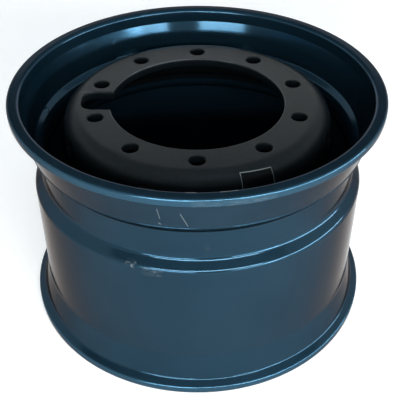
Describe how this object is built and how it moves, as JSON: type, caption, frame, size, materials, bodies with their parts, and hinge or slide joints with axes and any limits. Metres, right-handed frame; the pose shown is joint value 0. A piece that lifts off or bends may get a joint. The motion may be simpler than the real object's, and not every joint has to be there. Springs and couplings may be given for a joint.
{
  "type": "truck wheel",
  "caption": "Wide single steel truck wheel: drop-centre rim with a dished bolt-on disc near one lip, central hub bore, stud holes and skirt vents; no tyre.",
  "frame": {"origin": "centre of the wheel's axis at the foot of the lower lip, where it stands on the floor", "axes": "+Z along the wheel's axis, up towards the disc's outer face; -X towards the notch in the bore; +Y towards one stud hole"},
  "size_m": [0.5968, 0.5968, 0.3968],
  "materials": {
    "rim_paint": "gloss black enamel",
    "disc_paint": "satin charcoal, fine grain",
    "weld_paint": "gloss black enamel over weld",
    "label_film": "clear glossy film"
  },
  "bodies": {
    "root": {"rim": "rim_paint", "disc": "disc_paint", "disc_weld": "weld_paint"}
  },
  "joints": []
}
